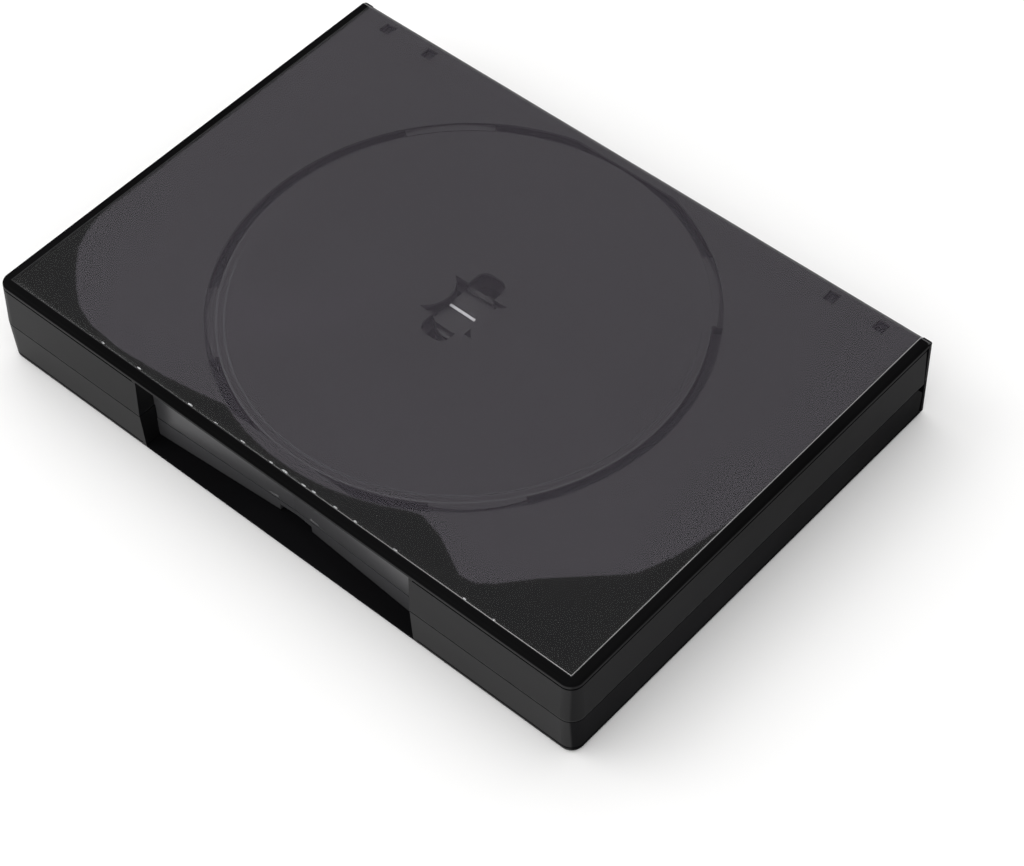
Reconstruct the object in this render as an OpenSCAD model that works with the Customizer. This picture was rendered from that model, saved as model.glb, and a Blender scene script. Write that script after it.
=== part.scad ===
/* [Case] */
// Length of the closed case along its spine
case_length = 190; // [185:1:240]
// Depth of the closed case from the opening edge to the spine's outer face
case_depth = 135; // [135:1:180]
// Thickness of the closed case
case_height = 27; // [27:0.5:40]
// Height of the joint line between the two covers
joint_line = 13; // [12:0.5:16]

/* [Shell] */
// Thickness of the flat panels
panel_t = 1.4; // [1.2:0.1:1.8]
// Thickness of the side walls
wall_t = 1.5; // [1.2:0.1:2]
// How far a side wall leans out from its panel to the joint line
wall_lean = 0.5; // [0:0.1:1]
// Radius of the two corners at the opening edge, in plan
corner_r = 4; // [3:0.5:8]
// Radius of the panel's outer edge
edge_r = 1.1; // [0.6:0.1:1.2]
// Depth of the shadow line under the panel's edge
shadow_depth = 0.45; // [0.2:0.05:0.6]
// Height of the shadow line
shadow_w = 0.5; // [0.3:0.1:0.8]
// Gap between the two covers' walls at the joint line
joint_gap = 0.3; // [0.1:0.05:0.5]

/* [Disc place] */
// Centre of the discs, measured from the middle of the case towards the spine
disc_y = 2; // [1.9:0.1:4]
// Inside radius of the wall around a disc
ring_in_r = 60.5; // [60.3:0.1:61]
// Outside radius of that wall on a cover
ring_out_r = 64.6; // [63:0.1:65]
// Thickness of the hollow wall's skin
ring_skin = 0.7; // [0.6:0.05:0.9]
// Direction of the finger gaps from the long axis
gap_dir = 45; // [35:1:55]
// Width of a finger gap, as an angle
gap_angle = 20; // [10:1:30]
// Width of the flat outside rest for the disc's rim
rim_seat_w = 1.7; // [1:0.1:2.5]
// Radius of the rest around the hub
seat_r = 17; // [15:0.5:18]
// Height of that rest above the panel
seat_h = 0.6; // [0.4:0.1:0.8]

/* [Hub] */
// Radius of the hub, for a disc with a 15 mm hole
hub_r = 7.35; // [7.2:0.05:7.4]
// How far the catch stands out past the hub
catch_out = 0.35; // [0.2:0.05:0.5]
// Height of a cover's hub above its outer face
cover_hub_top = 3.8; // [3.6:0.1:4.2]
// Height of a tray's hub above the tray's middle plane
tray_hub_top = 3.1; // [2.9:0.1:3.3]
// Width of the button across the hub
button_w = 9.4; // [8.5:0.1:9.6]
// Width of the long slot under the hub
lobe_w = 8.6; // [7:0.1:9]
// Length of the long slot under the hub
lobe_l = 25; // [20:0.5:26]
// Half width across the pointed ends of the hub's cut-out
horn_x = 8.6; // [8:0.1:9]
// Half length across the pointed ends
horn_y = 6.6; // [5:0.1:7]
// Half width of the cut-out's waist
waist_x = 5; // [4.9:0.1:5.4]

/* [Thumb notch] */
// Width of the notch in the opening edge
notch_w = 90; // [60:1:110]
// Depth of the notch at its ends
notch_end_d = 5; // [4:0.1:7]
// Depth of the notch in the middle
notch_mid_d = 7.9; // [5:0.1:8]
// Thickness of the notch's walls
notch_wall = 1.2; // [1:0.1:1.5]
// Height of the lower notch wall at its ends
notch_end_h = 8.2; // [6:0.1:10]
// Height of the lower notch wall in the middle
notch_mid_h = 5.2; // [4.6:0.1:10]
// Width of the latch window in the lower notch wall
latch_w = 10.6; // [6:0.1:14]

/* [Tray] */
// Thickness of a tray's plate
tray_t = 1.2; // [1:0.1:1.4]
// Height of a tray's ribs above its middle plane
tray_rib_h = 2.4; // [1.8:0.1:2.4]
// Thickness of a tray's ribs
tray_rib_t = 1.1; // [0.8:0.1:1.4]
// Gap between a tray and the end walls
tray_side_gap = 1.6; // [0.8:0.1:3]
// Gap between a tray's front edge and the notch's walls
tray_notch_gap = 1.1; // [1:0.1:1.4]
// Radius of the finger holes in a tray
finger_r = 8; // [5:0.5:9]

/* [Tray hinge] */
// Distance of the inner hinge plates from the middle of the case
hinge_in_x = 67; // [65:0.5:70]
// Distance of the outer hinge plates from the middle of the case
hinge_out_x = 82; // [80:0.5:84]
// Thickness of a hinge plate
hinge_plate_t = 1.6; // [1.2:0.1:2]
// Distance of the pins from the spine's inner face
hinge_back = 3.5; // [3.3:0.1:6]
// Radius of a tray's pins
pin_r = 1.25; // [1:0.05:1.5]
// Clearance all round a pin
pin_gap = 0.05; // [0.02:0.01:0.08]
// Width of the opening that a pin snaps in through
pin_mouth = 2.1; // [1.8:0.1:2.3]
// Half height of a tray's hinge arm
arm_r = 1.9; // [1.8:0.1:2.2]
// Gap between a hinge arm and the plates beside it
arm_gap = 0.3; // [0.2:0.05:0.6]
// Reach of a hinge arm from the pins to the tray's plate
arm_l = 13.5; // [10:0.5:16]
// Size of the core hole behind a hinge plate, along the case
core_w = 3.3; // [2.8:0.1:4]

/* [Spine] */
// Thickness of the spine panel
spine_t = 1.4; // [1.2:0.1:1.8]
// Gap at each hinge line between the spine and a cover
fold_gap = 0.2; // [0.1:0.05:0.5]
// How much shorter the spine is than the case, at each end
spine_end_gap = 0.5; // [0.3:0.1:2]

/* [Sleeve] */
// Thickness of the clear film
film_t = 0.15; // [0.1:0.01:0.2]
// Distance of the film's edge from the case's ends
film_end_inset = 3.3; // [2:0.1:6]
// Distance of the film's edge from the opening edge
film_front_inset = 3.3; // [2:0.1:6]
// Depth of the flat recess that the film lies in
film_recess = 0.3; // [0.25:0.01:0.35]

/* [Hidden] */
$fn = 96;
TRAYS = [1, 2, 3];
SIDES = ["lower", "upper"];

plastic = [0.09, 0.09, 0.1];
tray_plastic = [0.12, 0.12, 0.13];
film = [0.75, 0.78, 0.82, 0.3];
eps = 0.01;

// Plan of a cover
half_l = case_length / 2;
front_y = -case_depth / 2;
spine_in_y = case_depth / 2 - spine_t;
cover_end_y = spine_in_y - fold_gap;
end_wall_stop = 0.9;
slope_run = 3.4;
slope_drop = 4.5;
corner_x = half_l - corner_r;
corner_y = front_y + corner_r;
foot_u = corner_r - wall_lean;
lower_wall_top = joint_line - joint_gap / 2;
upper_wall_top = case_height - joint_line - joint_gap / 2;

// Notch
notch_x = notch_w / 2;
notch_out_x = notch_x + notch_wall;
cheek_gap = 0.3;
upper_notch_mid_h = case_height - notch_mid_h - joint_gap;
upper_notch_end_h = case_height - notch_end_h - joint_gap;
latch_lintel = 1.4;
latch_top = notch_mid_h - latch_lintel;
tooth_w = 3;
tooth_h = 1.6;
tooth_out = 0.6;

// Wall around a disc
GAP_DIRS = [gap_dir, 180 - gap_dir, 180 + gap_dir, 360 - gap_dir];
ring_top = cover_hub_top;
channel_in_r = ring_in_r + ring_skin;
channel_out_r = ring_out_r - ring_skin;
channel_roof = 0.8;
channel_top = ring_top - channel_roof;
channel_front_y = front_y + notch_mid_d + ring_skin;
ring_back_gap = 1.2;
channel_back_y = cover_end_y - ring_back_gap - channel_roof;
gap_line_w = 0.8;
gap_line_depth = 0.5;
taper_r = 37;
taper_at = channel_out_r - gap_line_w - taper_r;
seam = 0.05;
seat_groove_step = 0.2;
seat_groove_w = rim_seat_w - seat_groove_step;
rim_seat_h = 0.2;
skin_step = 0.5;

// Hub
catch_r = hub_r + catch_out;
post_cut_r = (horn_y * horn_y + (horn_x - waist_x) * (horn_x - waist_x)) / (2 * (horn_x - waist_x));
post_x = waist_x + post_cut_r;
post_relief = 0.05;
post_drop = 0.2;
lobe_r = 3;
button_plate_t = 1.2;
crease_r = 0.5;
crease_w = 1.6;
crease_drop = 0.4;
skirt_t = 1.3;
catch_low = 0.95;
catch_mid = 0.6;
catch_edge = 0.15;
tongue_gap = 0.2;
cover_button_foot = 1.7;
tray_button_foot = 1;
tray_seat_h = 1.5;

// Trays, evenly spaced between the hubs of the two covers
tray_gap = (case_height - 2 * cover_hub_top - 2 * tray_hub_top * len(TRAYS)) / (len(TRAYS) + 1);
tray_pitch = 2 * tray_hub_top + tray_gap;
tray_half_x = half_l - wall_t - wall_lean - tray_side_gap;
tray_back_gap = 6.5;
tray_back_y = cover_end_y - tray_back_gap;
tray_front_y = front_y + notch_mid_d + notch_wall + tray_notch_gap;
tray_ring_gap = 0.1;
tray_ring_r = ring_in_r + tray_ring_gap;
tray_corner_r = 3;

// Hinge of the trays
pin_y = spine_in_y - hinge_back;
plate_r = 2.6;
plate_front_y = pin_y - plate_r;
core_inset = 1.2;
core_front_y = plate_front_y + core_inset;
core_back_y = cover_end_y - core_inset;
plate_root = 1;
arm_in_x = hinge_in_x + hinge_plate_t / 2 + arm_gap;
arm_out_x = hinge_out_x - hinge_plate_t / 2 - arm_gap;
slot_gap = 0.8;
slot_in_x = hinge_in_x - hinge_plate_t / 2 - slot_gap;
slot_out_x = hinge_out_x + hinge_plate_t / 2 + slot_gap;
pin_end = 0.2;
arm_root_step = 0.8;
arm_root = tray_rib_h - arm_root_step;

// Spine and film
spine_half_l = half_l - spine_end_gap;
spine_low_z = 1;
spine_corner_r = 0.7;
film_half_x = half_l - film_end_inset;
film_front_y = front_y + film_front_inset;
film_gap = (film_recess - film_t) / 2;

function tray_z(k) = cover_hub_top + tray_gap + tray_hub_top + (k - 1) * tray_pitch;

// Points along an arc
function arc(x, y, r, from, to, steps = 6) =
    [for (i = [0:steps]) let (a = from + (to - from) * i / steps) [x + r * cos(a), y + r * sin(a)]];

// Outer surface of a leaning wall at a height
function lean_u(z, top) = foot_u + wall_lean * (z - edge_r) / (top - edge_r);

// Sizes and cuts that repeat

module both_ends() {
    children();
    mirror([1, 0, 0]) children();
}

module top_side_up() {
    translate([0, 0, case_height]) mirror([0, 0, 1]) children();
}

module rounded_square(w, l, r) {
    square([w, l - 2 * r], center = true);
    square([w - 2 * r, l], center = true);
    for (x = [-1, 1], y = [-1, 1]) translate([x * (w / 2 - r), y * (l / 2 - r)]) circle(r);
}

module annulus(r_in, r_out, z, h) {
    translate([0, 0, z]) difference() {
        cylinder(r = r_out, h = h);
        translate([0, 0, -1]) cylinder(r = r_in, h = h + 2);
    }
}

// Wedges at the four finger gaps, each opened by extra degrees at both sides
module gap_wedges(extra, h) {
    reach = 2 * ring_out_r;
    half = gap_angle / 2 + extra;
    for (a = GAP_DIRS)
        linear_extrude(h) polygon([
            [0, 0],
            [reach * cos(a - half), reach * sin(a - half)],
            [reach * cos(a + half), reach * sin(a + half)]
        ]);
}

// Runs a profile along the opening edge, round both corners and along both ends
module along_three_sides(back_y) {
    translate([0, corner_y, 0])
        rotate([90, 0, -90])
        linear_extrude(2 * corner_x, center = true) children();
    both_ends() {
        translate([corner_x, back_y, 0])
            rotate([90, 0, 0])
            linear_extrude(back_y - corner_y) children();
        translate([corner_x, corner_y, 0])
            rotate([0, 0, -90])
            rotate_extrude(angle = 90) children();
    }
}

// Section of a cover's edge: x runs outward, y runs from the outer face to the joint line
module shell_profile(top) {
    shadow_z = panel_t + 0.1;
    shadow_u = foot_u - shadow_depth;
    polygon(concat(
        [[0, 0]],
        arc(foot_u - edge_r, edge_r, edge_r, -90, 0),
        [
            [lean_u(shadow_z, top), shadow_z],
            [shadow_u, shadow_z],
            [shadow_u, shadow_z + shadow_w],
            [lean_u(shadow_z + shadow_w, top), shadow_z + shadow_w],
            [corner_r, top],
            [corner_r - wall_t, top],
            [foot_u - wall_t, panel_t],
            [0, panel_t]
        ]
    ));
}

// Plan of the notch's V-shaped wall
module notch_plan() {
    polygon([
        [-notch_out_x, front_y + notch_end_d],
        [0, front_y + notch_mid_d],
        [notch_out_x, front_y + notch_end_d],
        [notch_out_x, front_y + notch_end_d + notch_wall],
        [0, front_y + notch_mid_d + notch_wall],
        [-notch_out_x, front_y + notch_end_d + notch_wall]
    ]);
}

// The V-shaped wall up to heights that differ between its middle and its ends
module notch_wall_solid(mid_h, end_h, stop_h, reach_x) {
    intersection() {
        linear_extrude(max(mid_h, end_h)) notch_plan();
        rotate([90, 0, 0]) linear_extrude(case_depth, center = true)
            polygon([
                [-notch_out_x, panel_t - eps],
                [notch_out_x, panel_t - eps],
                [notch_out_x, min(stop_h, end_h)],
                [reach_x, min(stop_h, end_h)],
                [reach_x, end_h],
                [0, mid_h],
                [-reach_x, end_h],
                [-reach_x, min(stop_h, end_h)],
                [-notch_out_x, min(stop_h, end_h)]
            ]);
    }
}

module notch_cheeks(top) {
    both_ends()
        translate([notch_x, front_y + wall_lean, panel_t - eps])
        cube([notch_wall, notch_end_d + notch_wall - wall_lean, top - panel_t + eps]);
}

// Cut-out under a hub: a long slot with round ends crossed by four pointed horns
module hub_cutout() {
    rounded_square(lobe_w, lobe_l, lobe_r);
    difference() {
        square([2 * horn_x, 2 * horn_y], center = true);
        for (side = [-1, 1]) translate([side * post_x, 0]) circle(post_cut_r);
    }
}

// The two fixed posts of a hub
module hub_posts(z, top) {
    chamfer = 0.3;
    translate([0, 0, z]) intersection() {
        union() {
            cylinder(r = hub_r, h = top - z - chamfer);
            translate([0, 0, top - z - chamfer])
                cylinder(r1 = hub_r, r2 = hub_r - chamfer, h = chamfer);
        }
        both_ends() translate([post_x, 0, 0]) cylinder(r = post_cut_r - post_relief, h = top - z);
    }
}

// A hub's press button: two flaps that meet at a crease, with a catch at each outer end
module hub_button(top, foot) {
    low = top - button_plate_t;
    half = [
        [crease_w, low],
        [hub_r - skirt_t, low],
        [hub_r - skirt_t, foot],
        [hub_r - catch_edge, foot],
        [hub_r, top - catch_low],
        [catch_r, top - catch_mid],
        [hub_r - 2 * catch_edge, top - catch_edge],
        [hub_r - 1.5 * skirt_t, top],
        [1.5 * crease_w, top]
    ];
    last = len(half) - 1;
    intersection() {
        rotate([90, 0, 90]) linear_extrude(button_w, center = true) polygon(concat(
            half,
            [[0, top - crease_r]],
            [for (i = [last:-1:0]) [-half[i][0], half[i][1]]],
            [[0, low + crease_r]]
        ));
        cylinder(r = catch_r, h = top + 1);
        linear_extrude(top + 1) {
            square([button_w, 2 * (hub_r - skirt_t)], center = true);
            square([lobe_w - 2 * tongue_gap, 2 * catch_r], center = true);
        }
    }
    // Rolled crease across the underside
    translate([0, 0, low + crease_drop]) rotate([0, 90, 0])
        cylinder(r = crease_r, h = button_w - crease_r, center = true);
}

// One cover without its film, outer face down: panel, walls, notch, disc place and hub
module cover(wall_top, mid_h, end_h, stop_h, reach_x) {
    difference() {
        union() {
            difference() {
                union() {
                    translate([-corner_x, corner_y, 0])
                        cube([2 * corner_x, cover_end_y - corner_y, panel_t]);
                    along_three_sides(cover_end_y) shell_profile(wall_top);
                }
                translate([-half_l, cover_end_y - end_wall_stop, panel_t])
                    cube([2 * half_l, 1, case_height]);
                translate([-notch_x, front_y - 1, panel_t])
                    cube([notch_w, 2 * wall_t + wall_lean, case_height]);
            }
            notch_cheeks(wall_top);
            notch_wall_solid(mid_h, end_h, stop_h, reach_x);
            translate([0, disc_y, 0]) disc_place_solid();
        }
        translate([0, disc_y, 0]) disc_place_cuts();
        translate([-film_half_x, film_front_y, -1])
            cube([2 * film_half_x, case_depth, 1 + film_recess]);
    }
    translate([0, disc_y, 0]) hub_posts(panel_t - eps, cover_hub_top - post_drop);
}

// What stands up from the panel around a disc
module disc_place_solid() {
    intersection() {
        difference() {
            annulus(ring_in_r, ring_out_r, panel_t - eps, ring_top - panel_t);
            gap_wedges(0, case_height);
        }
        translate([-ring_out_r, front_y + notch_mid_d + eps - disc_y, 0])
            cube([2 * ring_out_r, cover_end_y - ring_back_gap - front_y - notch_mid_d, case_height]);
    }
    annulus(ring_in_r - rim_seat_w, ring_in_r + skin_step, panel_t - eps, rim_seat_h);
    translate([0, 0, panel_t - eps]) cylinder(r = seat_r, h = seat_h);
}

// What is cut into the panel's outer face behind the disc place
module disc_place_cuts() {
    low_y = channel_front_y - disc_y;
    span_y = channel_back_y - channel_front_y;
    intersection() {
        difference() {
            annulus(channel_in_r, channel_out_r, -1, channel_top + 1);
            translate([0, 0, -1]) gap_wedges(ring_skin, case_height);
        }
        translate([-ring_out_r, low_y, -1]) cube([2 * ring_out_r, span_y, case_height]);
    }
    intersection() {
        union() {
            // Beside the finger gaps the channel runs out to a shallow line at its outer edge
            difference() {
                annulus(channel_in_r - seam, channel_out_r + seam, -1, 1 + film_recess + gap_line_depth);
                for (a = GAP_DIRS) translate([taper_at * cos(a), taper_at * sin(a), -2])
                    cylinder(r = taper_r, h = case_height);
            }
            annulus(ring_in_r - seat_groove_w, channel_in_r + seam, -1, 1 + film_recess + rim_seat_h);
        }
        translate([-ring_out_r, low_y, -1]) cube([2 * ring_out_r, span_y, case_height]);
    }
    translate([0, 0, -1]) linear_extrude(case_height) hub_cutout();
}

// Latch window in the lower notch wall
module latch_window() {
    translate([-latch_w / 2, front_y, panel_t])
        cube([latch_w, 2 * notch_mid_d, latch_top - panel_t]);
}

// Latch teeth under the upper notch wall, either side of the middle
module latch_teeth() {
    root = 0.3;
    both_ends()
        translate([latch_w / 2 + tooth_w, front_y + notch_mid_d + root, upper_notch_mid_h - notch_wall])
        rotate([90, 0, -90])
        linear_extrude(tooth_w)
        polygon([[-1, 0], [-1, -tooth_h], [0, -tooth_h], [tooth_out + root, 0]]);
}

// A hinge plate for the trays, standing on the top cover, with one snap bore for each tray
module hinge_plate() {
    low_z = tray_z(1);
    rotate([90, 0, 90]) linear_extrude(hinge_plate_t, center = true) difference() {
        union() {
            translate([plate_front_y, low_z]) square([2 * plate_r, case_height - panel_t - low_z + eps]);
            translate([pin_y, low_z]) circle(plate_r);
            translate([plate_front_y, case_height - panel_t - plate_root])
                square([cover_end_y - joint_gap - plate_front_y, plate_root + eps]);
        }
        for (k = TRAYS) {
            translate([pin_y, tray_z(k)]) circle(pin_r + pin_gap);
            translate([plate_front_y - 1, tray_z(k) - pin_mouth / 2]) square([plate_r + 1, pin_mouth]);
        }
    }
}

module core_hole() {
    translate([-core_w / 2, core_front_y, case_height - panel_t])
        cube([core_w, core_back_y - core_front_y, panel_t + 1]);
}

// Plan of a tray, moved inwards by an inset
module tray_plan(inset) {
    w = 2 * (tray_half_x - inset);
    l = tray_back_y - tray_front_y - 2 * inset;
    translate([0, (tray_back_y + tray_front_y) / 2]) rounded_square(w, l, tray_corner_r - inset);
}

module hinge_slots() {
    both_ends() translate([slot_in_x, pin_y - arm_l, -case_height])
        cube([slot_out_x - slot_in_x, arm_l, 2 * case_height]);
}

// Arm between two hinge plates, with its pins
module hinge_arm() {
    both_ends() {
        translate([arm_in_x, 0, 0]) rotate([90, 0, 90]) linear_extrude(arm_out_x - arm_in_x) {
            translate([pin_y, 0]) circle(arm_r);
            polygon([
                [pin_y - arm_l - 1, -tray_t / 2],
                [pin_y - arm_l, -arm_root],
                [pin_y, -arm_r],
                [pin_y, arm_r],
                [pin_y - arm_l, arm_root],
                [pin_y - arm_l - 1, tray_t / 2]
            ]);
        }
        translate([hinge_in_x - hinge_plate_t / 2 - pin_end, pin_y, 0])
            rotate([0, 90, 0])
            cylinder(r = pin_r, h = hinge_out_x - hinge_in_x + hinge_plate_t + 2 * pin_end);
    }
}

// A two-sided tray about its middle plane
module tray() {
    difference() {
        union() {
            linear_extrude(tray_t, center = true) tray_plan(0);
            linear_extrude(2 * tray_rib_h, center = true) difference() {
                tray_plan(0);
                tray_plan(tray_rib_t);
            }
            intersection() {
                translate([0, disc_y, 0]) difference() {
                    annulus(tray_ring_r, tray_ring_r + tray_rib_t, -tray_rib_h, 2 * tray_rib_h);
                    translate([0, 0, -case_height / 2]) gap_wedges(0, case_height);
                }
                linear_extrude(2 * tray_rib_h, center = true) tray_plan(0);
            }
            translate([0, disc_y, -tray_seat_h]) cylinder(r = seat_r, h = 2 * tray_seat_h);
        }
        translate([0, disc_y, 0]) linear_extrude(case_height, center = true) hub_cutout();
        for (a = GAP_DIRS)
            translate([tray_ring_r * cos(a), disc_y + tray_ring_r * sin(a), 0])
                cylinder(r = finger_r, h = case_height, center = true);
        hinge_slots();
    }
    translate([0, disc_y, 0]) {
        hub_posts(-tray_t / 2, tray_hub_top - post_drop);
        mirror([0, 0, 1]) hub_posts(-tray_t / 2, tray_hub_top - post_drop);
    }
    hinge_arm();
}

module film_sheet() {
    translate([-film_half_x, film_front_y, film_gap])
        cube([2 * film_half_x, cover_end_y - film_front_y, film_t]);
}

// Named pieces

module bottom_cover() {
    color(plastic) difference() {
        cover(lower_wall_top, notch_mid_h, notch_end_h, notch_end_h, notch_out_x);
        latch_window();
        // The end walls slope down to the spine
        both_ends() translate([half_l - 3 * wall_t, 0, 0]) rotate([90, 0, 90])
            linear_extrude(6 * wall_t) polygon([
                [cover_end_y - slope_run, joint_line],
                [cover_end_y + 1, joint_line],
                [cover_end_y + 1, joint_line - slope_drop * (slope_run + 1) / slope_run]
            ]);
    }
}

module top_cover() {
    color(plastic) {
        difference() {
            top_side_up() {
                cover(upper_wall_top, upper_notch_mid_h, upper_notch_end_h,
                    upper_wall_top, notch_x - cheek_gap);
                latch_teeth();
            }
            both_ends() for (x = [hinge_in_x, hinge_out_x]) translate([x, 0, 0]) core_hole();
        }
        both_ends() for (x = [hinge_in_x, hinge_out_x]) translate([x, 0, 0]) hinge_plate();
    }
}

module spine_panel() {
    x = spine_half_l - spine_corner_r;
    y = case_depth / 2 - spine_corner_r;
    color(plastic) difference() {
        translate([0, 0, spine_low_z]) linear_extrude(case_height - 2 * spine_low_z)
            polygon(concat(
                [[-spine_half_l, spine_in_y], [spine_half_l, spine_in_y]],
                arc(x, y, spine_corner_r, 0, 90),
                arc(-x, y, spine_corner_r, 90, 180)
            ));
        translate([-film_half_x, case_depth / 2 - film_recess, 0])
            cube([2 * film_half_x, 1, case_height]);
    }
}

module sleeve_bottom() {
    color(film) film_sheet();
}

module sleeve_top() {
    color(film) top_side_up() film_sheet();
}

module sleeve_spine() {
    color(film) translate([-film_half_x, case_depth / 2 - film_gap - film_t, spine_low_z])
        cube([2 * film_half_x, film_t, case_height - 2 * spine_low_z]);
}

module bottom_cover_button() {
    color(plastic) translate([0, disc_y, 0]) hub_button(cover_hub_top, cover_button_foot);
}

module top_cover_button() {
    color(plastic) top_side_up() translate([0, disc_y, 0]) hub_button(cover_hub_top, cover_button_foot);
}

module tray_at(k) {
    color(tray_plastic) translate([0, 0, tray_z(k)]) tray();
}

module tray_button(k, side) {
    color(tray_plastic) translate([0, disc_y, tray_z(k)])
        mirror([0, 0, side == "lower" ? 1 : 0]) hub_button(tray_hub_top, tray_button_foot);
}

bottom_cover();
top_cover();
spine_panel();
sleeve_bottom();
sleeve_top();
sleeve_spine();
bottom_cover_button();
top_cover_button();
for (k = TRAYS) {
    tray_at(k);
    for (side = SIDES) tray_button(k, side);
}
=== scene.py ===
"""A closed black case for several discs, in its clear sleeve, on a pale table."""
import math
import random

import bpy
from mathutils import Matrix, Vector


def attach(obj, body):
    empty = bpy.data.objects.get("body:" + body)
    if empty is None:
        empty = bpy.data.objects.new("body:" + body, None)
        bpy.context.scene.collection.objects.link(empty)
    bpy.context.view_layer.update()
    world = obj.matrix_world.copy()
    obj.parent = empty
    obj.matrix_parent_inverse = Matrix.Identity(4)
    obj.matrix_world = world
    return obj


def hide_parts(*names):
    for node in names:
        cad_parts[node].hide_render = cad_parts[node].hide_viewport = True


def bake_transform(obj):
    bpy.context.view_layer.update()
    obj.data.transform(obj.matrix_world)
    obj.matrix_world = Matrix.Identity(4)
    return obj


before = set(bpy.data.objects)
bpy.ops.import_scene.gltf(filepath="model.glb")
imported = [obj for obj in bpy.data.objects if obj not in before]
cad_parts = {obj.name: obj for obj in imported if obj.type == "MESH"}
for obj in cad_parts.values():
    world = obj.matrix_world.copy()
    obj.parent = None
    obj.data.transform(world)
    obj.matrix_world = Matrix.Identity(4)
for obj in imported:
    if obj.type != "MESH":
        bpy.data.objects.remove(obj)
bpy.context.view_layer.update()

MM = 0.001

# Camera: the angle from which the case is seen, in degrees and metres
CAMERA_AZIMUTH = 42.797
CAMERA_ELEVATION = 50.826
CAMERA_DISTANCE = 0.70288
CAMERA_TARGET = (0.026886, -0.010961, 0.011)
CAMERA_ROLL = -1.892
CAMERA_LENS = 101.197
SENSOR_WIDTH = 36.0

# Sky: its brightest direction and its range of strength
SKY_BRIGHT_SIDE = (-0.35, -0.35, 0.87)
SKY_LOW = 0.30
SKY_HIGH = 1.51

# Lamp and table: power in watts, sizes in metres
LAMP_PLACE = (-1.10, -0.75, 1.35)
LAMP_SIZE = 0.9
LAMP_POWER = 5.0
TABLE_HALF = 3.0

# Sizes that the visible pieces share with the case, in millimetres
CASE_HEIGHT = 27.0
FILM_THICKNESS = 0.15
FILM_FRONT_Y = -64.2
FILM_HALF_X = 91.7
FILM_LEVEL = 26.85
FOLD_CENTRE_Y = 65.75
FOLD_CENTRE_Z = 25.25
FOLD_RADIUS = 1.6
WEB_OUTER_RADIUS = 1.45
WEB_THICKNESS = 0.38
WEB_HALF_LENGTH = 94.2
WEB_CREASE_Y = 66.9
JOINT_LINE = 13.0
DISC_Y = 2.0
NOTCH_HALF_WIDTH = 45.0
NOTCH_FLOOR_Z = 1.8
NOTCH_TOP_Z = 25.9
NOTCH_WALL_FRONT = -63.0
NOTCH_WALL_BACK = -58.0
END_WALL_X = 93.0
FRONT_WALL_Y = -57.4
BUTTON_CREASE_HALF_WIDTH = 0.38
BUTTON_CREASE_HALF_LENGTH = 4.36

# Where the film has sunk onto the cover: everything beyond this line, towards the opening edge
LIFTED_LEFT = [
    (-96.0, 80.0), (-95.0, -20.0), (-92.0, -31.0), (-90.0, -39.5), (-87.0, -46.0), (-82.0, -51.5),
    (-77.0, -56.0), (-72.0, -59.5), (-66.0, -61.5), (-55.0, -62.5), (-40.5, -61.5), (-28.0, -59.5),
]
LIFTED_RIGHT = [
    (35.5, -52.3), (43.0, -54.0), (48.0, -56.5), (54.0, -59.5), (58.0, -59.2), (62.0, -56.0),
    (68.5, -48.5), (79.5, -38.0), (84.5, -33.0), (88.0, -24.0), (90.0, -15.5), (91.0, -10.0),
    (93.5, 0.0), (96.0, 80.0),
]
RING_OUTER = 64.3

# Radii and half width of the two painted highlight lines at the edges of the disc place
RING_LINE_IN = 59.0
RING_LINE_OUT = 60.9
RING_LINE_HALF = 0.12

# Middle of the dull patch on the film, a painted reflection, and its half length and half width
PATCH_X = -29.0
PATCH_Y = -25.0
PATCH_HALF_LENGTH = 34.0
PATCH_HALF_WIDTH = 16.0

# Film: how much it covers where it lies on the plastic and over air, its buckles and how far it
# sinks, in millimetres, and the points across it
FILM_ALPHA_ON_PLASTIC = 0.255
FILM_ALPHA_OVER_AIR = 0.150
FILM_BUCKLE = 0.045
FILM_SUNK = 0.025
FILM_COLUMNS = 123

# Coat weights: outer walls, what the notch's V wall has on top, faces under the film, and inside
WALL_COAT = 0.27
NOTCH_WALL_COAT = 0.6
FACE_COAT = 0.70
INNER_COAT = 0.10

# Where the small welds along the opening edge lie, and how high they stand over the film's middle
WELD_FOOT = 0.045
WELD_STEPS = [(1.0, 0.0), (0.7, 0.027), (0.0, 0.036)]
WELD_SIDES = 10
WELDS = [
    -59.2, -46.6, -28.9, -20.1, -11.2, -1.7, 2.7, 9.0, 12.1, 19.1, 25.5, 38.1, 59.5, 68.4,
]


# Shader tools

class Value:
    """An output of a shader node. Arithmetic on it adds Math nodes."""

    def __init__(self, shader, made, socket=0):
        self.shader = shader
        self.made = made
        self.socket = made.outputs[socket] if made.outputs else None

    def other(self, socket):
        """Another output of the same node."""
        return Value(self.shader, self.made, socket)

    def math(self, operation, *others):
        """A Math node on this value and others, numbers or values."""
        sockets = dict(enumerate((self, *others)))
        return self.shader.node("ShaderNodeMath", {"operation": operation}, sockets)

    def __add__(self, other):
        return self.math("ADD", other)

    def __sub__(self, other):
        return self.math("SUBTRACT", other)

    def __rsub__(self, other):
        return self.math("MULTIPLY", -1.0).math("ADD", other)

    def __mul__(self, other):
        return self.math("MULTIPLY", other)

    __radd__ = __add__
    __rmul__ = __mul__

    def __abs__(self):
        return self.math("ABSOLUTE")

    def smooth(self, low, high):
        """0 below low, 1 above high and smooth in between. A low above high turns it round."""
        settings = {"interpolation_type": "SMOOTHSTEP"}
        return self.shader.node("ShaderNodeMapRange", settings, {0: self, 1: low, 2: high})


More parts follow.
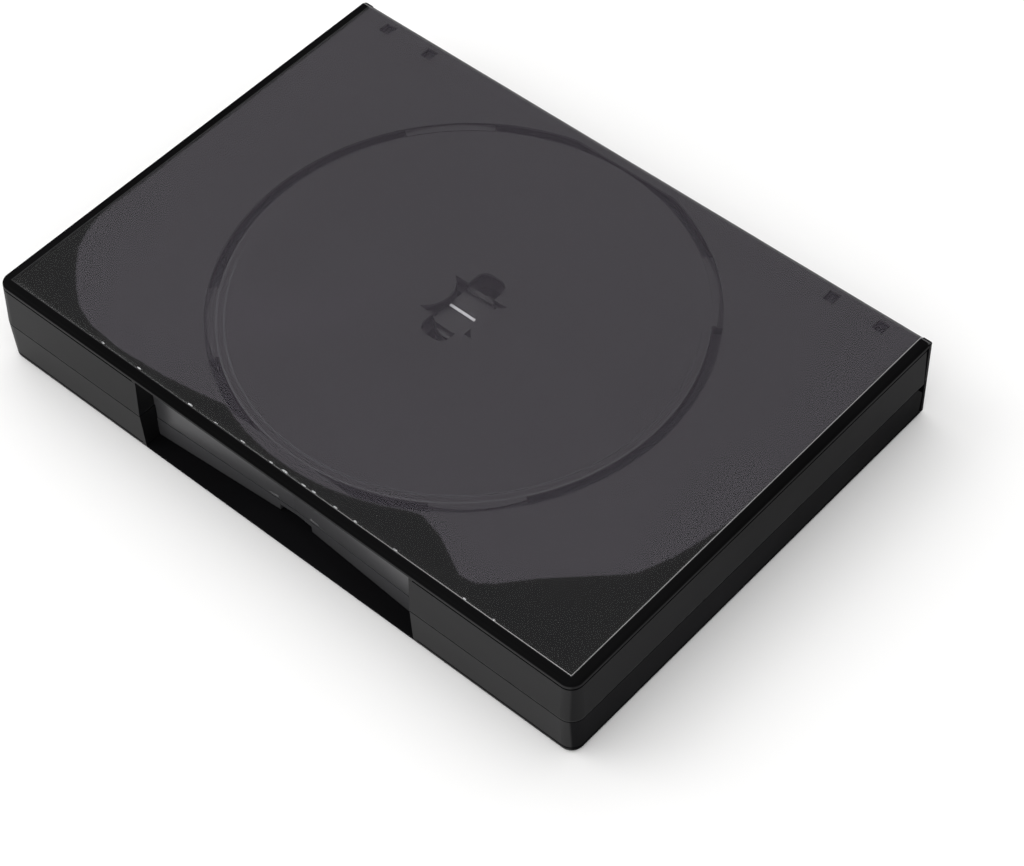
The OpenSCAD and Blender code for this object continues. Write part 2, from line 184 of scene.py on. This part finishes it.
class Shader:
    """A material whose nodes are made in code."""

    def __init__(self, name):
        self.material = bpy.data.materials.new(name)
        self.material.use_nodes = True
        self.tree = self.material.node_tree
        self.tree.nodes.clear()

    def node(self, kind, settings=(), sockets=(), output=0):
        """A node of a kind: its settings are set first, then its sockets get values or links."""
        made = self.tree.nodes.new(kind)
        for key, value in dict(settings).items():
            setattr(made, key, value)
        for key, value in dict(sockets).items():
            if isinstance(value, Value):
                self.tree.links.new(value.socket, made.inputs[key])
            else:
                made.inputs[key].default_value = value
        return Value(self, made, output)

    def place(self):
        """Position in the object's own frame, as a vector in metres."""
        return self.node("ShaderNodeTexCoord", output="Object")

    def axes(self):
        """x, y and z of the place, in millimetres."""
        split = self.node("ShaderNodeSeparateXYZ", {}, {0: self.place()})
        return [split.other(i) * 1000.0 for i in range(3)]

    def noise(self, size, detail=2.0, stretch=(1.0, 1.0, 1.0)):
        """Noise from 0 to 1 with features of about a size in millimetres."""
        scaled = self.node(
            "ShaderNodeVectorMath", {"operation": "MULTIPLY"}, {0: self.place(), 1: stretch})
        return self.node(
            "ShaderNodeTexNoise", {}, {"Vector": scaled, "Scale": 1000.0 / size, "Detail": detail})

    def blend(self, mask, first, second):
        """Colour that runs from first to second with a mask."""
        return self.node(
            "ShaderNodeMix", {"data_type": "RGBA"}, {0: mask, 6: first, 7: second}, output=2)

    def bump(self, height, depth):
        """Normal from a height from 0 to 1 that stands for a depth in millimetres."""
        sockets = {"Height": height, "Distance": depth * MM, "Strength": 1.0}
        return self.node("ShaderNodeBump", {}, sockets)

    def finish(self, sockets):
        """A Principled shader with these sockets as the material's surface."""
        surface = self.node("ShaderNodeBsdfPrincipled", {}, sockets)
        self.node("ShaderNodeOutputMaterial", {}, {"Surface": surface})
        return self.material


def grey(level, warm=0.0, cool=0.0):
    """A near-grey colour."""
    return (level * (1.0 + warm), level, level * (1.0 + cool), 1.0)


def limit(value):
    """A value kept between 0 and 1."""
    return value.math("MAXIMUM", 0.0).math("MINIMUM", 1.0)


# Plastics and film

def film_area(x, y):
    """1 on the part of an outer face that the film covers."""
    across = abs(x).smooth(FILM_HALF_X + 0.3, FILM_HALF_X)
    return across * y.smooth(FILM_FRONT_Y - 0.3, FILM_FRONT_Y)


def ring_painted_highlights(x, y):
    """1 on the painted highlights along the two edges of the disc place, fainter towards the spine."""
    radius = (x * x + (y - DISC_Y) * (y - DISC_Y)).math("SQRT")
    far = RING_LINE_HALF + 0.22
    inner = abs(radius - RING_LINE_IN).smooth(far, RING_LINE_HALF)
    outer = abs(radius - RING_LINE_OUT).smooth(far, RING_LINE_HALF)
    return limit(inner + outer) * (0.25 + y.smooth(25.0, -40.0) * 0.75)


def notch_wall(x, y, z):
    """1 on the V-shaped wall at the back of the thumb notch."""
    across = abs(x).smooth(NOTCH_HALF_WIDTH, NOTCH_HALF_WIDTH - 0.2)
    front = y.smooth(NOTCH_WALL_FRONT - 0.2, NOTCH_WALL_FRONT)
    deep = y.smooth(NOTCH_WALL_BACK, NOTCH_WALL_BACK - 0.2) * front
    upright = z.smooth(NOTCH_FLOOR_Z - 0.2, NOTCH_FLOOR_Z + 0.4)
    return across * deep * upright * z.smooth(NOTCH_TOP_Z, NOTCH_TOP_Z - 0.3)


def notch_floor(x, y, z):
    """1 on the floor of the thumb notch."""
    across = abs(x).smooth(NOTCH_HALF_WIDTH + 0.2, NOTCH_HALF_WIDTH - 0.1)
    deep = y.smooth(NOTCH_WALL_BACK, NOTCH_WALL_BACK - 0.6)
    return z.smooth(NOTCH_FLOOR_Z, NOTCH_FLOOR_Z - 0.3) * across * deep


def case_plastic():
    """Black moulded plastic: satin walls, smoother faces under the film and a matt border round it."""
    s = Shader("case_plastic")
    x, y, z = s.axes()
    face = abs(z - CASE_HEIGHT / 2).smooth(12.6, 12.9)
    covered = face * film_area(x, y)
    border = face * (1.0 - covered)
    v_wall = notch_wall(x, y, z) * (1.0 - face)
    flow = s.noise(38.0, 3.0, (0.5, 1.0, 1.0))
    grain = s.noise(0.32, 2.0)
    mottle = s.noise(2.2, 3.0)
    base = s.blend(flow.smooth(0.35, 0.65), grey(0.0045, 0.02, 0.10), grey(0.0062, 0.02, 0.12))
    # Painted shade: the bare border round the film is darkened
    base = s.blend(border * 0.7, base, grey(0.002))
    # A mottled line just above the joint line is paler
    joint_edge = abs(z - (JOINT_LINE + 0.32)).smooth(0.3, 0.08)
    pale_joint_line = limit(joint_edge * mottle.smooth(0.35, 0.6))
    base = s.blend(pale_joint_line * 0.4, base, grey(0.035))
    # Painted highlights: the edges of the disc place are paler, as if they caught light through the
    # film
    base = s.blend(ring_painted_highlights(x, y) * face * 0.8, base, grey(0.045, 0.0, 0.08))
    # Painted reflection: the notch's V wall is paler, as if it mirrored the table
    base = s.blend(v_wall, base, grey(0.045, 0.0, 0.05))
    rough = 0.46 + grain * 0.10 + (mottle - 0.5) * 0.08 - covered * 0.12 + border * 0.12
    # The outer walls shine, the notch's V wall most. The ends are less glossy than the opening
    # edge, the lower cover's most of all. Recesses and the inside shine little.
    ends = abs(x).smooth(END_WALL_X, END_WALL_X + 0.6)
    lower = z.smooth(JOINT_LINE, JOINT_LINE - 0.2)
    outer = limit(ends + y.smooth(FRONT_WALL_Y, FRONT_WALL_Y - 0.4))
    walls = INNER_COAT + outer * (WALL_COAT + v_wall * NOTCH_WALL_COAT)
    walls = walls - ends * (0.21 + lower * 0.12)
    walls = walls * (1.0 - face) * (1.0 - notch_floor(x, y, z))
    coat = limit(walls + covered * FACE_COAT + 0.02 + (flow - 0.5) * 0.06)
    # The faces under the film are smooth, the walls have a fine grain
    relief = s.blend(covered, grain, (0.5, 0.5, 0.5, 1.0))
    return s.finish({
        "Base Color": base, "Roughness": rough, "Coat Weight": coat, "Normal": s.bump(relief, 0.010),
        "Specular IOR Level": 0.0, "Coat Roughness": 0.28, "Coat IOR": 1.5,
    })


def tray_plastic(name, level, rough_level, painted_crease_highlight=False):
    """Smoother black plastic of a tray or a hub button, with a painted highlight along a button's
    crease.
    """
    s = Shader(name)
    flow = s.noise(30.0, 3.0, (1.0, 0.6, 1.0))
    grain = s.noise(0.4, 2.0)
    scuffs = s.noise(3.0, 4.0, (1.0, 6.0, 1.0))
    worn = scuffs.smooth(0.62, 0.75)
    base = s.blend(flow.smooth(0.3, 0.7), grey(level, 0.0, 0.05), grey(level * 1.35, 0.0, 0.06))
    base = s.blend(worn * 0.25, base, grey(level * 3.0))
    if painted_crease_highlight:
        # Painted highlight: the bright bar on a button's crease is painted near white
        x, y, _ = s.axes()
        wide = abs(y - DISC_Y).smooth(BUTTON_CREASE_HALF_WIDTH + 0.08, BUTTON_CREASE_HALF_WIDTH)
        long = abs(x).smooth(BUTTON_CREASE_HALF_LENGTH + 0.1, BUTTON_CREASE_HALF_LENGTH)
        crease = wide * long
        base = s.blend(crease * (1.0 - worn * 0.3), base, grey(0.80, 0.0, 0.03))
    rough = rough_level + grain * 0.08 + worn * 0.10
    return s.finish({
        "Base Color": base, "Roughness": rough, "Normal": s.bump(grain, 0.006),
        "Coat Weight": 0.5 + (flow - 0.5) * 0.2,
        "Specular IOR Level": 0.15, "Coat Roughness": 0.22, "Coat IOR": 1.5,
    })


def web_plastic():
    """The thin living hinge, paler along the crease where it has been bent."""
    s = Shader("hinge_web_plastic")
    _, y, _ = s.axes()
    stress = s.noise(1.6, 3.0, (1.0, 0.2, 0.2))
    crease = abs(y - WEB_CREASE_Y).smooth(0.35, 0.05)
    base = s.blend(crease * stress.smooth(0.4, 0.65) * 0.5, grey(0.014, 0.0, 0.05), grey(0.05))
    rough = 0.36 + stress * 0.12
    return s.finish({
        "Base Color": base, "Roughness": rough, "Normal": s.bump(s.noise(0.35), 0.008),
        "Coat Weight": 0.4 + stress * 0.1,
        "Specular IOR Level": 0.35, "Coat Roughness": 0.25, "Coat IOR": 1.5,
    })


def film_edge_highlight(x, y):
    """1 on the painted highlight along the film's cut edges, strongest at the corner of the opening
    edge on the right.
    """
    side = abs(x).smooth(FILM_HALF_X - 0.35, FILM_HALF_X - 0.1)
    front = y.smooth(FILM_FRONT_Y + 0.35, FILM_FRONT_Y + 0.1)
    near_corner = x.smooth(-60.0, 95.0) * 0.75 + 0.25
    return limit((side + front) * near_corner)


def painted_reflection_patch(x, y):
    """1 in the middle of the soft dull patch on the film, a painted reflection, which lies askew."""
    diagonal = math.sqrt(0.5)
    along = (x - PATCH_X) * diagonal + (y - PATCH_Y) * diagonal
    athwart = (x - PATCH_X) * diagonal - (y - PATCH_Y) * diagonal
    return abs(along).smooth(PATCH_HALF_LENGTH, 6.0) * abs(athwart).smooth(PATCH_HALF_WIDTH, 1.0)


def clear_film():
    """Clear glossy film: grey over air, dark where it lies on the plastic, with a painted highlight
    along its cut edges.
    """
    s = Shader("clear_film")
    x, y, _ = s.axes()
    lifted = s.node("ShaderNodeAttribute", {"attribute_name": "lifted"}, output="Fac")
    air = lifted.smooth(-0.35, 0.35)
    rim = lifted.smooth(-1.6, -0.3) * lifted.smooth(0.5, -0.1)
    haze = s.noise(26.0, 3.0)
    dust = s.noise(0.7, 2.0).smooth(0.76, 0.84)
    ripple = s.noise(9.0, 2.0)
    edge = film_edge_highlight(x, y)
    # Painted reflection: a soft askew patch where the film is rougher and covers more
    patch = painted_reflection_patch(x, y) * haze.smooth(0.25, 0.6)
    alpha = FILM_ALPHA_ON_PLASTIC - air * (FILM_ALPHA_ON_PLASTIC - FILM_ALPHA_OVER_AIR)
    alpha = alpha + (haze - 0.5) * 0.02 + patch * air * 0.05 - rim * 0.02
    alpha = limit(alpha + edge * 0.35 + dust * 0.03)
    metal = limit(0.93 - edge * 0.8 - dust * 0.6)
    # Stuck to the black plastic it darkens it. With air under it, it adds its own two reflections.
    base = s.blend(air, grey(0.01), grey(0.102, 0.11, 0.20))
    # Painted highlight on the cut edges, and real dust, both near white
    base = s.blend(limit(edge + dust), base, grey(0.7))
    rough = 0.12 + haze * 0.06 + edge * 0.3 + patch * 0.1
    return s.finish({
        "Base Color": base, "Roughness": rough, "Metallic": metal, "Alpha": alpha,
        "Normal": s.bump(ripple, 0.02),
    })


def weld_plastic():
    """Melted, whitened film of the small welds."""
    s = Shader("weld_plastic")
    melt = s.noise(0.35, 2.0)
    base = s.blend(melt, grey(0.35), grey(0.8, 0.0, 0.03))
    return s.finish({
        "Base Color": base, "Roughness": 0.25 + melt * 0.2, "Alpha": melt.smooth(0.25, 0.6) * 0.85,
        "Normal": s.bump(melt, 0.03), "Specular IOR Level": 0.5,
    })


def table_top():
    """Pale, slightly mottled table."""
    s = Shader("table_top")
    cloud = s.noise(160.0, 3.0)
    fine = s.noise(0.9, 2.0)
    base = s.blend(cloud, grey(0.83, 0.004, -0.004), grey(0.87, 0.004, -0.004))
    return s.finish({
        "Base Color": base, "Roughness": 0.6 + fine * 0.1, "Normal": s.bump(fine, 0.01),
        "Specular IOR Level": 0.2,
    })


# Mesh tools

def make_mesh(name, points, faces, material):
    """A smooth mesh object from points in millimetres."""
    mesh = bpy.data.meshes.new(name)
    mesh.from_pydata([[c * MM for c in p] for p in points], [], faces)
    mesh.update()
    mesh.shade_smooth()
    made = bpy.data.objects.new(name, mesh)
    bpy.context.scene.collection.objects.link(made)
    made.data.materials.append(material)
    return made


def closed_sheet(rows):
    """Faces of a closed sheet whose points are two layers of rows, the outer layer first."""
    count, width = len(rows), len(rows[0])
    size = count * width
    faces = []
    for i in range(count - 1):
        for j in range(width - 1):
            a = i * width + j
            quad = [a, a + 1, a + width + 1, a + width]
            faces.append(quad)
            faces.append([size + k for k in reversed(quad)])
    rim = [(0, j) for j in range(width)]
    rim += [(i, width - 1) for i in range(1, count)]
    rim += [(count - 1, j) for j in range(width - 2, -1, -1)]
    rim += [(i, 0) for i in range(count - 2, 0, -1)]
    for k, (i, j) in enumerate(rim):
        i2, j2 = rim[(k + 1) % len(rim)]
        a, b = i * width + j, i2 * width + j2
        faces.append([b, a, size + a, size + b])
    return faces


def segment_distance(p, a, b):
    """Distance of a point from a segment, in the plane."""
    ax, ay = a
    bx, by = b
    dx, dy = bx - ax, by - ay
    t = ((p[0] - ax) * dx + (p[1] - ay) * dy) / (dx * dx + dy * dy)
    t = min(1.0, max(0.0, t))
    return math.hypot(p[0] - ax - t * dx, p[1] - ay - t * dy)


def inside(p, outline):
    """Whether a point lies inside an outline."""
    found = False
    for (ax, ay), (bx, by) in zip(outline, outline[1:] + outline[:1]):
        if (ay > p[1]) != (by > p[1]) and p[0] < ax + (p[1] - ay) * (bx - ax) / (by - ay):
            found = not found
    return found


# Film and hinge webs

def lifted_outline():
    """The outline of the part of the film that has air under it."""
    first, last = LIFTED_LEFT[-1], LIFTED_RIGHT[0]
    start = math.atan2(first[1] - DISC_Y, first[0])
    stop = math.atan2(last[1] - DISC_Y, last[0])
    steps = 14
    ring = [start + (stop - start) * k / steps for k in range(1, steps)]
    arc = [(RING_OUTER * math.cos(a), DISC_Y + RING_OUTER * math.sin(a)) for a in ring]
    return LIFTED_LEFT + arc + LIFTED_RIGHT


def film_path():
    """(y, z, ny, nz) along the film from the opening edge over the fold to the middle of the spine."""
    path = []
    y = FILM_FRONT_Y
    while y < FOLD_CENTRE_Y - 0.01:
        path.append((y, FILM_LEVEL, 0.0, 1.0))
        y += 1.5
    steps = 10
    for k in range(steps + 1):
        a = math.pi / 2 * (1 - k / steps)
        c, s = math.cos(a), math.sin(a)
        path.append((FOLD_CENTRE_Y + FOLD_RADIUS * c, FOLD_CENTRE_Z + FOLD_RADIUS * s, c, s))
    spine_y = FOLD_CENTRE_Y + FOLD_RADIUS
    drop = FOLD_CENTRE_Z - CASE_HEIGHT / 2
    rows = 8
    for k in range(1, rows + 1):
        path.append((spine_y, FOLD_CENTRE_Z - drop * k / rows, 1.0, 0.0))
    return path


def film_wave(x, y, depth, phases):
    """Height of the film's gentle buckles at a point, in millimetres."""
    slow = math.sin(x / 19.0 + phases[0]) * math.sin(y / 27.0 + phases[1])
    quick = math.sin(x / 6.3 + phases[2]) * math.exp(-(y - FILM_FRONT_Y) / 7.0)
    cross = math.sin((x + y) / 31.0 + phases[3])
    return depth * (0.5 * slow + 0.35 * cross + 0.5 * quick)


def film_rise(x, y, z, lift, phases):
    """Height of the film over its flat place: buckled over air, sunk where it touches the plastic."""
    if z < FILM_LEVEL - 0.02:
        return 0.03 * math.sin(x / 4.1 + phases[2]) * math.exp(-(FILM_LEVEL - z) / 3.0)
    over_air = max(0.0, min(1.0, (lift + 1.0) / 2.0))
    rise = film_wave(x, y, FILM_BUCKLE, phases) * over_air - FILM_SUNK * (1.0 - over_air)
    return max(-0.05, min(0.045, rise))


def film_sheet(name, upper, seed, outline, film):
    """One half of the sleeve, from the opening edge round the fold to the middle of the spine."""
    rng = random.Random(seed)
    phases = [rng.uniform(0.0, 6.283) for _ in range(4)]
    half = FILM_THICKNESS / 2
    rows, outer, inner, lifts = [], [], [], []
    for y, z, ny, nz in film_path():
        row = []
        for j in range(FILM_COLUMNS):
            x = FILM_HALF_X * (2.0 * j / (FILM_COLUMNS - 1) - 1.0)
            border = min(segment_distance((x, y), a, b) for a, b in zip(outline, outline[1:]))
            lift = border if inside((x, y), outline) else -border
            rise = film_rise(x, y, z, lift, phases)
            for layer, side in ((outer, half), (inner, -half)):
                py, pz = y + ny * (rise + side), z + nz * (rise + side)
                layer.append((x, py, pz if upper else CASE_HEIGHT - pz))
            row.append(len(outer) - 1)
            lifts.append(lift)
        rows.append(row)
    faces = closed_sheet(rows)
    if not upper:
        faces = [f[::-1] for f in faces]
    sheet = make_mesh(name, outer + inner, faces, film)
    lifted = sheet.data.attributes.new("lifted", "FLOAT", "POINT")
    lifted.data.foreach_set("value", lifts + lifts)
    return sheet


def hinge_web(name, upper, plastic):
    """The thin living hinge between the spine and one cover, bent over the fold."""
    steps = 14
    # It reaches a little past both ends of the quarter turn
    start, stop = math.radians(97), math.radians(-6)
    columns = 48
    outer, inner, rows = [], [], []
    for k in range(steps + 1):
        a = start + (stop - start) * k / steps
        # Thinnest in the middle of the fold
        thin = WEB_THICKNESS * (1.0 - 0.35 * math.sin(math.pi * k / steps))
        row = []
        for j in range(columns):
            x = WEB_HALF_LENGTH * (2.0 * j / (columns - 1) - 1.0)
            for layer, r in ((outer, WEB_OUTER_RADIUS), (inner, WEB_OUTER_RADIUS - thin)):
                y = FOLD_CENTRE_Y + r * math.cos(a)
                z = FOLD_CENTRE_Z + r * math.sin(a)
                layer.append((x, y, z if upper else CASE_HEIGHT - z))
            row.append(len(outer) - 1)
        rows.append(row)
    faces = closed_sheet(rows)
    if not upper:
        faces = [f[::-1] for f in faces]
    return make_mesh(name, outer + inner, faces, plastic)


def weld_dots(name, upper, places, seed, plastic):
    """Small flattened welds along the film's edge at the opening side."""
    rng = random.Random(seed)
    points, faces = [], []
    sides = WELD_SIDES
    for x0 in places:
        long = rng.uniform(0.45, 0.95)
        wide = rng.uniform(0.18, 0.30)
        y0 = FILM_FRONT_Y + rng.uniform(0.25, 0.45)
        start = len(points)
        for ring, height in WELD_STEPS:
            count = sides if ring else 1
            for k in range(count):
                a = 2 * math.pi * k / sides
                z = FILM_LEVEL + WELD_FOOT + height
                points.append((
                    x0 + ring * long * math.cos(a), y0 + ring * wide * math.sin(a),
                    z if upper else CASE_HEIGHT - z))
        for k in range(sides):
            n = (k + 1) % sides
            faces.append([start + k, start + n, start + sides + n, start + sides + k])
            faces.append([start + sides + k, start + sides + n, start + 2 * sides])
        faces.append([start + k for k in reversed(range(sides))])
    if not upper:
        faces = [f[::-1] for f in faces]
    return make_mesh(name, points, faces, plastic)


# Setting

def make_camera():
    """The camera at the case's viewing angle."""
    azimuth, elevation = math.radians(CAMERA_AZIMUTH), math.radians(CAMERA_ELEVATION)
    flat = math.cos(elevation)
    back = Vector((math.sin(azimuth) * flat, -math.cos(azimuth) * flat, math.sin(elevation)))
    right = (-back).cross(Vector((0, 0, 1))).normalized()
    up = right.cross(-back)
    roll = math.radians(CAMERA_ROLL)
    turned_right = right * math.cos(roll) + up * math.sin(roll)
    turned_up = up * math.cos(roll) - right * math.sin(roll)
    turn = Matrix((turned_right, turned_up, back)).transposed().to_4x4()
    data = bpy.data.cameras.new("camera")
    data.lens = CAMERA_LENS
    data.sensor_width = SENSOR_WIDTH
    data.clip_start = 0.01
    data.clip_end = 20.0
    camera = bpy.data.objects.new("camera", data)
    camera.matrix_world = Matrix.Translation(Vector(CAMERA_TARGET) + back * CAMERA_DISTANCE) @ turn
    bpy.context.scene.collection.objects.link(camera)
    bpy.context.scene.camera = camera


def make_lamp():
    """A soft square lamp that looks at the middle of the case's foot."""
    data = bpy.data.lights.new("key_lamp", "AREA")
    data.shape = "SQUARE"
    data.size = LAMP_SIZE
    data.energy = LAMP_POWER
    lamp = bpy.data.objects.new("key_lamp", data)
    turn = Vector(LAMP_PLACE).to_track_quat("Z", "Y").to_matrix().to_4x4()
    lamp.matrix_world = Matrix.Translation(LAMP_PLACE) @ turn
    bpy.context.scene.collection.objects.link(lamp)


def make_sky():
    """A soft studio sky, brighter overhead and towards the opening edge's left."""
    world = bpy.data.worlds.new("sky")
    world.use_nodes = True
    tree = world.node_tree
    toward = tree.nodes.new("ShaderNodeTexCoord").outputs["Generated"]
    lift = tree.nodes.new("ShaderNodeVectorMath")
    lift.operation = "DOT_PRODUCT"
    lift.inputs[1].default_value = SKY_BRIGHT_SIDE
    tree.links.new(toward, lift.inputs[0])
    level = tree.nodes.new("ShaderNodeMapRange")
    level.inputs["From Min"].default_value = -0.6
    level.inputs["From Max"].default_value = 1.0
    level.inputs["To Min"].default_value = SKY_LOW
    level.inputs["To Max"].default_value = SKY_HIGH
    tree.links.new(lift.outputs["Value"], level.inputs["Value"])
    background = tree.nodes["Background"]
    background.inputs["Color"].default_value = (1.0, 1.0, 1.0, 1.0)
    tree.links.new(level.outputs["Result"], background.inputs["Strength"])
    bpy.context.scene.world = world


def make_setting():
    """Pale table, soft sky and one soft lamp."""
    half = TABLE_HALF
    corners = [(-half, -half), (half, -half), (half, half), (-half, half)]
    points = [(x / MM, y / MM, 0.0) for x, y in corners]
    table = make_mesh("table", points, [[0, 1, 2, 3]], table_top())
    make_sky()
    bpy.context.scene.view_settings.view_transform = "Standard"
    make_lamp()


# The case

def dress_cad(case, tray, button):
    """Gives the CAD pieces that show their finished plastics."""
    for name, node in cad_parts.items():
        if name.startswith("sleeve"):
            continue
        is_button = "button" in name
        finish = button if is_button else tray if name.startswith("tray") else case
        node.data.materials.clear()
        node.data.materials.append(finish)


def make_sleeve():
    """The clear sleeve: two sheets that meet at the middle of the spine, and their welds."""
    film = clear_film()
    weld = weld_plastic()
    outline = lifted_outline()
    lower_outline = [(-x, y) for x, y in reversed(outline)]
    upper = film_sheet("film_upper", True, 11, outline, film)
    lower = film_sheet("film_lower", False, 12, lower_outline, film)
    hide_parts("sleeve_top", "sleeve_spine")
    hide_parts("sleeve_bottom")
    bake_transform(upper)
    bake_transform(lower)
    dots = weld_dots("film_welds_upper", True, WELDS, 21, weld)
    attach(dots, "lid")
    dots = weld_dots("film_welds_lower", False, [-x for x in WELDS[::2]], 22, weld)
    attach(dots, "base")


def make_webs():
    """The two living hinges."""
    plastic = web_plastic()
    upper = hinge_web("hinge_web_upper", True, plastic)
    lower = hinge_web("hinge_web_lower", False, plastic)
    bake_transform(upper)
    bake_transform(lower)


make_camera()
make_setting()
dress_cad(
    case_plastic(), tray_plastic("tray_plastic", 0.008, 0.36),
    tray_plastic("button_plastic", 0.008, 0.28, painted_crease_highlight=True))
make_webs()
make_sleeve()
